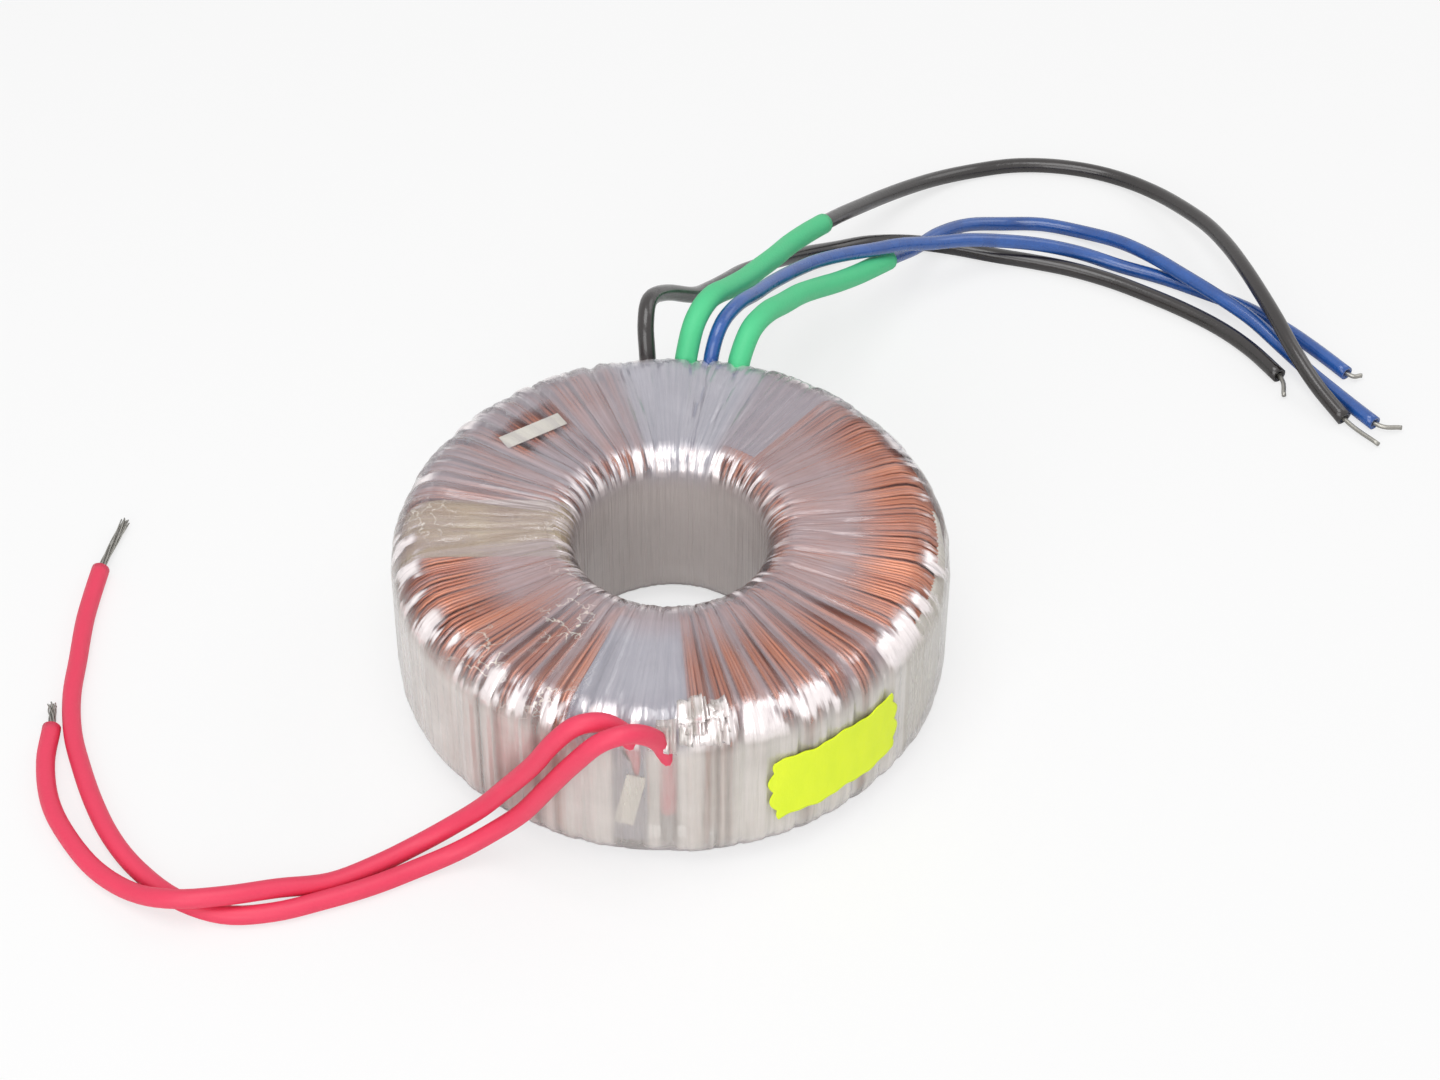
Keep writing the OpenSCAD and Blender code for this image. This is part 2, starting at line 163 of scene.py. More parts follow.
class Nodes:
    """The node tree of one material."""

    def __init__(self, name: str) -> None:
        """Makes a material with an empty tree and its output."""
        self.material = bpy.data.materials.new(name + "_finish")
        self.material.use_nodes = True
        self.tree = self.material.node_tree
        self.tree.nodes.clear()
        self.output = self.tree.nodes.new("ShaderNodeOutputMaterial")

    def add(self, kind: str, settings: dict | None = None, inputs: dict | None = None,
            out: int | str = 0) -> Value:
        """Adds a node, sets it up and feeds its sockets.

        Args:
            kind: The node's type.
            settings: The node's own properties, with a ramp's stops under "stops".
            inputs: A value, number or colour for each named or numbered socket.
            out: The output to return.

        Returns:
            The chosen output.
        """
        node = self.tree.nodes.new(kind)
        for key, setting in (settings or {}).items():
            if key == "stops":
                ramp = node.color_ramp
                for place, colour in setting[2:]:
                    ramp.elements.new(place)
                for element, (place, colour) in zip(ramp.elements, sorted(setting)):
                    element.position = place
                    element.color = (*colour, 1.0)
            else:
                setattr(node, key, setting)
        for key, given in (inputs or {}).items():
            socket = node.inputs[key]
            if isinstance(given, Value):
                self.tree.links.new(given.socket, socket)
            elif isinstance(given, tuple) and len(socket.default_value) == 4:
                socket.default_value = (*given[:3], 1.0)
            else:
                socket.default_value = given
        return Value(self, node.outputs[out])

    def place(self) -> Value:
        """Gives the point on the surface in the part's own metres."""
        return self.add("ShaderNodeTexCoord", out="Object")

    def stretched(self, scale: tuple[float, float, float]) -> Value:
        """Gives the surface point with each axis scaled."""
        return self.add("ShaderNodeMapping", None, {"Vector": self.place(), "Scale": scale})

    def noise(self, scale: float, detail: float = 3.0, at: Value | None = None) -> Value:
        """Gives a soft random value between 0 and 1 with about `scale` features a metre."""
        return self.add("ShaderNodeTexNoise", None,
                        {"Vector": at or self.place(), "Scale": scale, "Detail": detail})

    def attribute(self, name: str) -> Value:
        """Gives a number that the mesh carries at each vertex."""
        return self.add("ShaderNodeAttribute", {"attribute_name": name}, out="Fac")

    def mix(self, factor: Value | float, first: Value | Colour, second: Value | Colour) -> Value:
        """Blends two colours."""
        return self.add("ShaderNodeMix", {"data_type": "RGBA"}, {0: factor, 6: first, 7: second}, 2)

    def polar(self, turns: float, radial: float, axial: float) -> Value:
        """Gives the surface point as angle, radius and height, each scaled, for radial streaks."""
        parts = self.add("ShaderNodeSeparateXYZ", None, {0: self.place()}).socket.node.outputs
        x, y, z = (Value(self, part) for part in parts)
        angle = self.add("ShaderNodeMath", {"operation": "ARCTAN2"}, {0: y, 1: x})
        radius = (x * x + y * y) ** 0.5
        return self.add("ShaderNodeCombineXYZ", None,
                        {0: angle * turns, 1: radius * radial, 2: z * axial})

    def bump(self, height: Value, strength: float, distance: float) -> Value:
        """Turns a height in metres times distance into a normal."""
        return self.add("ShaderNodeBump", None,
                        {"Height": height, "Strength": strength, "Distance": distance})

    def finish(self, **inputs: Value | float | Colour) -> bpy.types.Material:
        """Ends the tree in a Principled shader, with each input named with underscores."""
        named = {key.replace("_", " "): given for key, given in inputs.items()}
        shader = self.add("ShaderNodeBsdfPrincipled", None, named)
        self.tree.links.new(shader.socket, self.output.inputs["Surface"])
        return self.material


# ---------------------------------------------------------------------------------------------
# Finishes
# ---------------------------------------------------------------------------------------------


@dataclass(frozen=True)
class FilmFinish:
    """Clear polyester film: hazy where it bridges a gap, clear where it lies on the wire."""

    name: str = "outer_film"
    top: Colour = srgb(190, 174, 180)
    wall: Colour = srgb(226, 220, 212)
    pad: Colour = srgb(182, 182, 194)
    # White of the painted highlight on the shoulders.
    glint: Colour = srgb(250, 240, 240)
    cream: Colour = srgb(236, 226, 206)

    def material(self) -> bpy.types.Material:
        """Builds the material; the mesh carries haze, wall, pad, shoulder and crinkle at each vertex. Shoulder marks
        where the painted highlight goes.
        """
        n = Nodes(self.name)
        streak = n.noise(1.0, 4.0, n.polar(60.0, 90.0, 90.0))
        cloud = n.noise(140.0, 3.0)
        # Painted highlight: on the shoulder band the colour is pushed towards the glint white in broken facets and the
        # film is made less clear, in place of the lamps' reflection.
        facet = n.noise(1.0, 2.0, n.polar(13.0, 150.0, 150.0)) + (streak - 0.5) * 0.35
        shine = n.attribute("shoulder") * ((facet - 0.47) * 9.0).clamped()
        ridge = n.add("ShaderNodeMath", {"operation": "ABSOLUTE"}, {0: n.noise(330.0, 3.0) - 0.5})
        patch = ((n.noise(110.0, 2.0) - 0.5) * 9.0).clamped()
        scratch = n.attribute("crinkle") * patch * (1.0 - ridge * 48.0).clamped()
        colour = n.mix(n.attribute("wall"), self.top, self.wall)
        colour = n.mix(n.attribute("pad"), colour, self.pad)
        colour = n.mix((streak * 0.4).clamped(), colour, srgb(158, 142, 146))
        colour = n.mix(scratch * 0.8, colour, self.cream)
        colour = n.mix(shine, colour, self.glint)
        alpha = (n.attribute("haze") + (streak - 0.5) * 0.5 + (cloud - 0.5) * 0.3).clamped(0.08, 0.97)
        alpha = (alpha + shine * 0.8 + scratch * 0.5).clamped()
        wrinkle = n.noise(420.0, 4.0) * 0.6 + n.noise(1.0, 3.0, n.polar(46.0, 120.0, 60.0))
        return n.finish(Base_Color=colour, Roughness=0.14 + 0.12 * cloud, Alpha=alpha,
                        Metallic=shine * 0.5, Specular_IOR_Level=1.0, Coat_Weight=1.0,
                        Coat_Roughness=0.04, Normal=n.bump(wrinkle, 0.45, 0.0007))


@dataclass(frozen=True)
class CopperFinish:
    """Enamelled copper wire, blended between bright and brown copper by soft random streaks round the ring."""

    name: str = "enamelled_copper"
    bright: Colour = srgb(232, 152, 112)
    dark: Colour = srgb(138, 66, 38)

    def material(self) -> bpy.types.Material:
        """Builds the material."""
        n = Nodes(self.name)
        bundle = n.noise(1.0, 2.0, n.polar(9.0, 14.0, 14.0))
        grain = n.noise(1.0, 3.0, n.polar(150.0, 60.0, 60.0))
        shade = (bundle * 1.5 - 0.35 + (grain - 0.5) * 0.8).clamped()
        return n.finish(Base_Color=n.mix(shade, self.dark, self.bright), Metallic=0.55,
                        Roughness=0.26 + 0.15 * grain, Coat_Weight=0.6, Coat_Roughness=0.08,
                        Normal=n.bump(grain, 0.3, 0.0001))


@dataclass(frozen=True)
class SheetFinish:
    """A sheet under the film, such as a pad, tape or paper label."""

    name: str
    colour: Colour
    # The darker colour painted into the crease valleys as shade.
    shade: Colour
    roughness: float
    coat: float
    crease: float

    def material(self) -> bpy.types.Material:
        """Builds the material."""
        n = Nodes(self.name)
        cloud = n.noise(160.0, 4.0)
        crease = n.noise(1.0, 4.0, n.polar(14.0, 160.0, 120.0))
        fibre = n.noise(1800.0, 2.0)
        # Painted shade: the crease valleys of the bump are darkened towards the shade colour, with random cloudy tone
        # on top.
        shade = (crease * 1.4 - 0.4 + (cloud - 0.5) * 0.6).clamped()
        return n.finish(Base_Color=n.mix(shade, self.shade, self.colour),
                        Roughness=(self.roughness + (fibre - 0.5) * 0.2).clamped(0.05, 1.0),
                        Coat_Weight=self.coat, Coat_Roughness=0.1,
                        Normal=n.bump(crease + 0.15 * fibre, self.crease, 0.0008))


@dataclass(frozen=True)
class SleeveFinish:
    """Extruded insulation with faint length-wise marks, dull or glossy."""

    name: str
    colour: Colour
    shade: Colour
    roughness: float
    coat: float
    mottle: float = 0.3

    def material(self) -> bpy.types.Material:
        """Builds the material."""
        n = Nodes(self.name)
        cloud = n.noise(260.0, 3.0)
        speck = n.noise(2600.0, 3.0)
        shade = ((cloud - 0.5) * 2.0 * self.mottle + (speck - 0.5) * self.mottle + 0.75).clamped()
        return n.finish(Base_Color=n.mix(shade, self.shade, self.colour),
                        Roughness=(self.roughness + (cloud - 0.5) * 0.25).clamped(0.05, 1.0),
                        Coat_Weight=self.coat, Coat_Roughness=0.12,
                        Normal=n.bump(speck + cloud * 2.0, 0.18, 0.0002))


@dataclass(frozen=True)
class MetalFinish:
    """Bare, tinned or soldered metal with drawn marks."""

    name: str
    colour: Colour
    roughness: float

    def material(self) -> bpy.types.Material:
        """Builds the material."""
        n = Nodes(self.name)
        mark = n.noise(1500.0, 3.0)
        return n.finish(Base_Color=n.mix((mark * 0.6).clamped(), self.colour, srgb(120, 116, 110)),
                        Metallic=0.9, Roughness=(self.roughness + (mark - 0.5) * 0.3).clamped(0.1, 1.0),
                        Normal=n.bump(mark, 0.25, 0.0001))


FINISHES = {
    "outer_film": FilmFinish(),
    "enamelled_copper": CopperFinish(),
    "core_steel": MetalFinish("core_steel", srgb(140, 142, 146), 0.4),
    "core_tape": SheetFinish("core_tape", srgb(222, 208, 170), srgb(190, 172, 130), 0.5, 0.0, 0.3),
    "interlayer_film": SheetFinish("interlayer_film", srgb(188, 170, 176), srgb(150, 128, 132), 0.35, 0.5, 0.4),
    "pad_sheet": SheetFinish("pad_sheet", srgb(176, 176, 188), srgb(140, 139, 152), 0.4, 0.3, 0.5),
    "anchor_film": SheetFinish("anchor_film", srgb(226, 212, 178), srgb(176, 152, 122), 0.25, 0.8, 0.9),
    "paper_label": SheetFinish("paper_label", srgb(240, 238, 230), srgb(220, 216, 205), 0.6, 0.0, 0.15),
    "neon_label": SheetFinish("neon_label", srgb(240, 255, 40), srgb(226, 246, 34), 0.6, 0.0, 0.2),
    "red_insulation": SleeveFinish("red_insulation", srgb(236, 66, 98), srgb(212, 48, 80), 0.5, 0.0, 0.2),
    "green_sleeving": SleeveFinish("green_sleeving", srgb(88, 212, 148), srgb(60, 186, 124), 0.55, 0.0, 0.15),
    "black_sleeving": SleeveFinish("black_sleeving", srgb(34, 27, 26), srgb(12, 9, 9), 0.3, 0.6, 0.4),
    "blue_sleeving": SleeveFinish("blue_sleeving", srgb(36, 92, 172), srgb(18, 54, 120), 0.28, 0.6, 0.6),
    "tinned_copper": MetalFinish("tinned_copper", srgb(168, 166, 160), 0.35),
    "solder": MetalFinish("solder", srgb(190, 190, 194), 0.4),
}


# ---------------------------------------------------------------------------------------------
# Modelling helpers
# ---------------------------------------------------------------------------------------------


def deselect() -> None:
    """Clears the selection, because an operator acts on all that is selected."""
    for other in bpy.context.view_layer.objects:
        other.select_set(False)


def take(obj: bpy.types.Object) -> None:
    """Makes one object the only selected and the active one."""
    deselect()
    obj.select_set(True)
    bpy.context.view_layer.objects.active = obj


def points_of(mesh: bpy.types.Mesh) -> np.ndarray:
    """Reads the vertices of a mesh as rows of x, y, z."""
    flat = np.empty(len(mesh.vertices) * 3)
    mesh.vertices.foreach_get("co", flat)
    return flat.reshape(-1, 3)


def move_points(mesh: bpy.types.Mesh, points: np.ndarray) -> None:
    """Puts the vertices of a mesh at new places."""
    mesh.vertices.foreach_set("co", points.ravel())
    mesh.update()


def carry(mesh: bpy.types.Mesh, name: str, values: np.ndarray) -> None:
    """Stores one number at each vertex, for a material to read."""
    attribute = mesh.attributes.new(name, "FLOAT", "POINT")
    attribute.data.foreach_set("value", values.astype(np.float32))


def face_out(obj: bpy.types.Object, doubles: float) -> None:
    """Merges doubled points and turns every face outwards."""
    take(obj)
    bpy.ops.object.mode_set(mode="EDIT")
    bpy.ops.mesh.select_all(action="SELECT")
    bpy.ops.mesh.remove_doubles(threshold=doubles)
    bpy.ops.mesh.normals_make_consistent(inside=False)
    bpy.ops.object.mode_set(mode="OBJECT")


def settle(obj: bpy.types.Object, slot: str, node: str | None = None) -> bpy.types.Object:
    """Dresses a finished piece and hangs it on the part.

    Args:
        obj: The piece, in place.
        slot: The record's material slot, which is also the finish.
        node: The CAD node that it stands for, if any.

    Returns:
        The same piece.
    """
    obj.data.materials.clear()
    obj.data.materials.append(bpy.data.materials[slot + "_finish"])
    obj.data.shade_smooth()
    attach(obj, "root")
    if node:
        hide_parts(node)
    LOG.info("%s: %d faces, %s", obj.name, len(obj.data.polygons), slot)
    return obj


@dataclass(frozen=True)
class Section:
    """The rounded section of the ring, inside its finished size by a depth."""

    bore: float
    rim: float
    low: float
    high: float
    eye_round: float
    rim_round: float

    def outline(self, arc: int, flat: int) -> np.ndarray:
        """Gives the closed outline, anticlockwise from the foot of the hole's lower shoulder.

        Args:
            arc: Steps in each quarter round.
            flat: Steps along each straight side.

        Returns:
            Rows of radius and height.
        """
        a, b = self.eye_round, self.rim_round
        corners = [
            (self.bore + a, self.low + a, a, math.pi), (self.rim - b, self.low + b, b, 1.5 * math.pi),
            (self.rim - b, self.high - b, b, 0.0), (self.bore + a, self.high - a, a, 0.5 * math.pi)]
        rows: list[np.ndarray] = []
        for r, z, radius, start in corners:
            turn = start + np.linspace(0, 0.5 * math.pi, arc + 1)
            rows.append(np.stack([r + radius * np.cos(turn), z + radius * np.sin(turn)], 1))
        outline: list[np.ndarray] = []
        for index, row in enumerate(rows):
            following = rows[(index + 1) % 4][0]
            share = np.linspace(0, 1, flat + 1)[1:-1, None]
            outline += [row, row[-1] + (following - row[-1]) * share]
        return np.concatenate(outline)

    def inside(self, depth: float) -> Section:
        """Gives the section that lies a depth further in."""
        return Section(self.bore + depth, self.rim - depth, self.low + depth, self.high - depth,
                       max(self.eye_round - depth, 0.8 * MM), max(self.rim_round - depth, 0.8 * MM))


def spun(name: str, outline: np.ndarray, steps: int) -> bpy.types.Object:
    """Spins a closed outline into a ring.

    Args:
        name: The piece's name.
        outline: Rows of radius and height.
        steps: Stations round the ring.

    Returns:
        The ring, closed, with its faces outwards.
    """
    deselect()
    bpy.ops.mesh.primitive_circle_add(vertices=len(outline), radius=1.0)
    obj = bpy.context.object
    obj.name = obj.data.name = name
    move_points(obj.data, np.stack([outline[:, 0], 0 * outline[:, 0], outline[:, 1]], 1))
    bpy.ops.object.mode_set(mode="EDIT")
    bpy.ops.mesh.select_all(action="SELECT")
    bpy.ops.mesh.spin(steps=steps, angle=2 * math.pi, center=(0, 0, 0), axis=(0, 0, 1))
    bpy.ops.object.mode_set(mode="OBJECT")
    face_out(obj, 0.01 * MM)
    return obj


def smoothstep(low: float, high: float, value: np.ndarray) -> np.ndarray:
    """Rises smoothly from 0 at low to 1 at high."""
    share = np.clip((value - low) / (high - low), 0, 1)
    return share * share * (3 - 2 * share)


def within(angle: np.ndarray, start: float, end: float, blur: float) -> np.ndarray:
    """Gives 1 between two angles in degrees, with soft ends, round the whole circle."""
    middle, half = (start + end) / 2, (end - start) / 2
    off = np.abs((angle - middle + 180) % 360 - 180)
    return 1 - smoothstep(half - blur / 2, half + blur / 2, off)


# ---------------------------------------------------------------------------------------------
# The ring
# ---------------------------------------------------------------------------------------------


@dataclass
class Ring:
    """The wrapped ring: its turns of wire, its film and what lies between them."""

    section: Section
    wire_r: float = 0.32 * MM
    sticker_w: float = 21.5 * MM
    sticker_h: float = 11 * MM
    sticker_bites: int = 3
    sticker_angle: float = -54.8
    sticker_tilt: float = 4.0
    tuft_count: int = 12
    seed: int = 7
    angles: list[float] = field(default_factory=list)

    def lay_out(self) -> None:
        """Chooses the angle of every turn: even on the right, in bundles elsewhere."""
        rng = np.random.default_rng(self.seed)
        angle = -86.0
        while angle < 66.0:
            dense = -38.0 < angle
            count = 40 if dense else int(rng.integers(2, 6))
            for _ in range(count):
                self.angles.append(angle + rng.normal(0, 0.12))
                angle += 1.02 if dense else 0.95
                if angle > 66.0:
                    break
            angle += 0.25 if dense else rng.uniform(1.2, 4.2)
        angle = 102.0
        while angle < 255.0:
            dense = 172.0 < angle < 222.0
            count = int(rng.integers(8, 14)) if dense else int(rng.integers(2, 6))
            for _ in range(count):
                self.angles.append(angle + rng.normal(0, 0.12))
                angle += 1.02
                if angle > 255.0:
                    break
            angle += 0.5 if dense else rng.uniform(0.8, 3.6)

    def turns(self) -> bpy.types.Object:
        """Models one turn of wire from a torus, then copies it to every angle."""
        path = self.section.inside(1.15 * MM).outline(5, 4)
        deselect()
        bpy.ops.mesh.primitive_torus_add(major_segments=len(path), minor_segments=6,
                                         major_radius=1.0, minor_radius=0.25)
        obj = bpy.context.object
        obj.name = obj.data.name = "copper_turns"
        start = points_of(obj.data)
        share = (np.degrees(np.arctan2(start[:, 1], start[:, 0])) % 360) / 360 * len(path)
        index = np.rint(share).astype(int) % len(path)
        ahead, behind = path[(index + 1) % len(path)], path[index - 1]
        along = (ahead - behind) / np.linalg.norm(ahead - behind, axis=1)[:, None]
        out = (np.hypot(start[:, 0], start[:, 1]) - 1.0) / 0.25
        side = start[:, 2] / 0.25
        r = path[index, 0] + along[:, 1] * out * self.wire_r
        z = path[index, 1] - along[:, 0] * out * self.wire_r
        faces = np.array([list(p.vertices) for p in obj.data.polygons])
        hole = 1 - smoothstep(self.section.bore, self.section.bore + 9 * MM, path[index, 0])
        points, quads = [], []
        rng = np.random.default_rng(self.seed + 1)
        for count, angle in enumerate(self.angles):
            lean = rng.normal(0, 0.25 * MM)
            deeper = hole * (count % 3) * 2.1 * self.wire_r
            spread = lean * (path[index, 0] - self.section.bore) / self.section.rim
            local = np.stack([r + deeper, side * self.wire_r + spread, z], 1)
            turn = math.radians(angle)
            x = local[:, 0] * math.cos(turn) - local[:, 1] * math.sin(turn)
            y = local[:, 0] * math.sin(turn) + local[:, 1] * math.cos(turn)
            quads.append(faces + len(start) * count)
            points.append(np.stack([x, y, local[:, 2]], 1))
        mesh = bpy.data.meshes.new("copper_turns")
        mesh.from_pydata(np.concatenate(points).tolist(), [], np.concatenate(quads).tolist())
        obj.data = mesh
        face_out(obj, 0.0)
        return settle(obj, "enamelled_copper", "secondary_winding_2")

    def film(self) -> bpy.types.Object:
        """Spins the film, then draws it over the turns in pleats and laps."""
        obj = spun("outer_wrap_film", self.section.outline(9, 12), 900)
        points = points_of(obj.data)
        angle = np.degrees(np.arctan2(points[:, 1], points[:, 0]))
        radius = np.hypot(points[:, 0], points[:, 1])
        height = points[:, 2]
        s = self.section
        middle = np.array([(s.bore + s.rim) / 2, (s.low + s.high) / 2])
        out_r = (radius - middle[0]) / (s.rim - s.bore) * 2
        out_z = (height - middle[1]) / (s.high - s.low) * 2
        top = smoothstep(0.55, 0.95, out_z)
        wall = smoothstep(0.8, 0.98, out_r)
        hole = smoothstep(0.8, 0.98, -out_r)
        rng = np.random.default_rng(self.seed + 2)

        touch = np.zeros(len(points))
        for turn in self.angles:
            off = np.abs((angle - turn + 180) % 360 - 180)
            touch = np.maximum(touch, 1 - smoothstep(0.3, 1.3, off))
        sink = np.zeros(len(points))
        for _ in range(150):
            at, lean = rng.uniform(-180, 180), rng.uniform(-26, 26)
            width, depth = rng.uniform(0.35, 1.3), rng.uniform(0.05, 0.22)
            skew = lean * (radius - s.bore) / (s.rim - s.bore) * 0.35
            off = np.abs((angle - at - skew + 180) % 360 - 180)
            sink += depth * np.exp(-((off / width) ** 2))
        lap = np.zeros(len(points))
        for index in range(24):
            at = index * 15 + rng.uniform(-3, 3)
            skew = 14 * (radius - s.bore) / (s.rim - s.bore)
            off = (angle - at - skew + 180) % 360 - 180
            lap = np.maximum(lap, smoothstep(0, 0.25, off) * (1 - smoothstep(8, 14, off)))
        outer_turn = np.degrees(np.arctan2(height - (s.high - s.rim_round), radius - (s.rim - s.rim_round)))
        inner_turn = np.degrees(np.arctan2(height - (s.high - s.eye_round), (s.bore + s.eye_round) - radius))
        gap = (1 - touch) * 0.22 * (1 - hole)
        seam = 0.2 * (1 - smoothstep(9, 12, outer_turn)) * wall * within(angle, -128, -38, 8)
        inward = (gap + sink * (0.5 + 0.5 * top) + 0.12 * (1 - lap) + seam) * MM
        inward *= smoothstep(0.02 * MM, 2.5 * MM, height) * (1 - 0.7 * hole)
        direction = np.stack([out_r ** 7, out_z ** 7], 1)
        direction /= np.linalg.norm(direction, axis=1)[:, None] + 1e-9
        radius = radius - direction[:, 0] * inward
        move_points(obj.data, np.stack([radius * np.cos(np.radians(angle)),
                                        radius * np.sin(np.radians(angle)),
                                        height - direction[:, 1] * inward], 1))
        across = (radius - s.bore) / (s.rim - s.bore)
        back = within(angle, 66, 104, 10) * top + 0.5 * within(angle, 104, 165, 20) * top
        pad = within(angle, -112, -86.5, 3) * top * smoothstep(0.2, 0.4, across)
        rim_side = within(angle, -34, 42, 14) + within(angle, 190, 216, 10)
        bundled = within(angle, -86, -34, 6) + within(angle, 216, 252, 10)
        see = rim_side * (0.12 + 0.88 * smoothstep(0.4, 0.72, across))
        see += 0.85 * bundled * (0.25 + 0.75 * smoothstep(0.2, 0.6, across))
        see += 0.34 * within(angle, 104, 170, 10) + 0.35 * within(angle, 42, 66, 10)
        see = np.clip(see, 0, 1) * top * (0.25 + 0.75 * touch)
        haze = 0.66 - 0.54 * see + 0.18 * back + 0.14 * pad
        haze += 0.22 * (1 - top) - 0.34 * within(angle, 171, 189, 2) * top
        haze -= 0.42 * within(angle, 124, 145, 3) * top * within(radius / MM, 24, 30, 2)
        haze -= 0.4 * within(angle, -102, -95, 2) * wall * (1 - top) + 0.3 * within(angle, -35, 8, 1) * wall
        haze += 0.1 * hole * (1 - top) - 0.28 * within(angle, -92.5, -89, 1.5) * wall * (1 - top)
        # The shoulder band is where the film's material paints its highlight, in broken facets.
        shoulder = np.zeros(len(points))
        for turn in (outer_turn, inner_turn):
            shoulder = np.maximum(shoulder, smoothstep(14, 26, turn) * (1 - smoothstep(58, 76, turn)))
        haze -= 0.34 * touch * shoulder * (across < 0.4)
        shoulder *= 1 - 0.45 * touch * (across < 0.4) * (1 - within(angle, 40, 140, 30))
        ribs = np.zeros(len(points))
        for at in (-118, -113.5, -83, -81, -79, -62, -48, 228, 233):
            off = np.abs((angle - at + 180) % 360 - 180)
            ribs = np.maximum(ribs, np.exp(-((off / 1.1) ** 2)))
        haze -= 0.34 * ribs * wall
        carry(obj.data, "haze", haze)
        carry(obj.data, "wall", np.maximum(wall, 0.7 * hole) * (1 - 0.5 * top))
        carry(obj.data, "shoulder", shoulder)
        carry(obj.data, "crinkle", (within(angle, 206, 248, 8) + within(angle, 171, 189, 4)) * top)
        carry(obj.data, "pad", np.clip(pad + back, 0, 1))
        return settle(obj, "outer_film", "outer_wrap")

    def tufts(self) -> bpy.types.Object:
        """Crumples small slips of film out round the place where the red leads leave it."""
        rng = np.random.default_rng(self.seed + 3)
        slips = []
        for index in range(self.tuft_count):
            deselect()
            bpy.ops.mesh.primitive_grid_add(x_subdivisions=7, y_subdivisions=5, size=1.0)
            slip = bpy.context.object
            slip.name = f"film_tuft_{index}"
            u, v = points_of(slip.data)[:, :2].T
            turn = np.radians(rng.uniform(-93, -80) + (u * rng.uniform(2.5, 6.0)))
            fall = rng.uniform(20, 62) + v * rng.uniform(18, 40)
            lift = (0.1 + (u + 0.5) ** 2 * rng.uniform(0.5, 1.9)) * MM
            lift = lift + rng.normal(0, 0.22 * MM, len(u)).clip(-0.3 * MM, 0.5 * MM)
            r = self.section.rim - self.section.rim_round
            z = self.section.high - self.section.rim_round
            reach = self.section.rim_round + np.maximum(lift, 0.05 * MM)
            r = r + reach * np.cos(np.radians(90 - fall))
            z = z + reach * np.sin(np.radians(90 - fall))
            move_points(slip.data, np.stack([r * np.cos(turn), r * np.sin(turn), z], 1))
            slips.append(slip)
        for slip in slips:
            slip.select_set(True)
        bpy.context.view_layer.objects.active = slips[0]
        bpy.ops.object.join()
        obj = bpy.context.object
        obj.name = obj.data.name = "film_tufts"
        shell = obj.modifiers.new("film", "SOLIDIFY")
        shell.thickness = 0.04 * MM
        bpy.ops.object.modifier_apply(modifier=shell.name)
        count = len(obj.data.vertices)
        carry(obj.data, "haze", np.full(count, 0.45))
        carry(obj.data, "wall", np.full(count, 1.0))
        # A shoulder value of 0.8 gives the slips the film's painted highlight.
        carry(obj.data, "shoulder", np.full(count, 0.8))
        return settle(obj, "outer_film")

    def sticker(self) -> bpy.types.Object:
        """Wraps the bare fluorescent sticker round the wall, with wavy edges and bitten ends."""
        deselect()
        bpy.ops.mesh.primitive_grid_add(x_subdivisions=60, y_subdivisions=40, size=1.0)
        obj = bpy.context.object
        obj.name = obj.data.name = "seal_sticker_sheet"
        u, v = points_of(obj.data)[:, :2].T
        bite = np.abs(np.cos(math.pi * self.sticker_bites * (v + 0.5))) * 0.7 * MM
        half = self.sticker_w / 2 - 0.7 * MM + bite - 1.1 * MM * np.abs(2 * v) ** 3
        along = 2 * u * half
        up = v * self.sticker_h + 0.22 * MM * np.sin(u * 15 + 1.0) + 0.12 * MM * np.sin(u * 41)
        tilt = math.radians(self.sticker_tilt)
        along, up = (along * math.cos(tilt) - up * math.sin(tilt),
                     along * math.sin(tilt) + up * math.cos(tilt))
        r = self.section.rim + 0.06 * MM
        turn = math.radians(self.sticker_angle) + along / r
        z = (self.section.low + self.section.high) / 2 + up
        move_points(obj.data, np.stack([r * np.cos(turn), r * np.sin(turn), z], 1))
        take(obj)
        shell = obj.modifiers.new("paper", "SOLIDIFY")
        shell.thickness = 0.12 * MM
        shell.offset = 1.0
        bpy.ops.object.modifier_apply(modifier=shell.name)
        face_out(obj, 0.0)
        return settle(obj, "neon_label", "seal_sticker")

    def build(self) -> None:
        """Builds the turns, the film and what shows on it."""
        self.lay_out()
        self.turns()
        self.film()
        self.tufts()
        self.sticker()


# ---------------------------------------------------------------------------------------------
# Leads
# ---------------------------------------------------------------------------------------------


class Conductor(Enum):
    """What shows past a lead's insulation, by its number of strands."""

    SOLID = 1
    STRANDED = 13


def smooth_route(points: list[Vector], steps: int) -> list[Vector]:
    """Rounds a route through all its points.

    Args:
        points: The route's points.
        steps: New points for each old one.

    Returns:
        The finer route.
    """
    ends = [points[0] * 2 - points[1], *points, points[-1] * 2 - points[-2]]
    finer: list[Vector] = []
    for a, b, c, d in zip(ends, ends[1:], ends[2:], ends[3:]):
        for step in range(steps):
            t = step / steps
            finer.append(0.5 * ((2 * b) + (c - a) * t + (2 * a - 5 * b + 4 * c - d) * t * t
                                + (3 * b - 3 * c + d - a) * t * t * t))
    return [*finer, points[-1]]


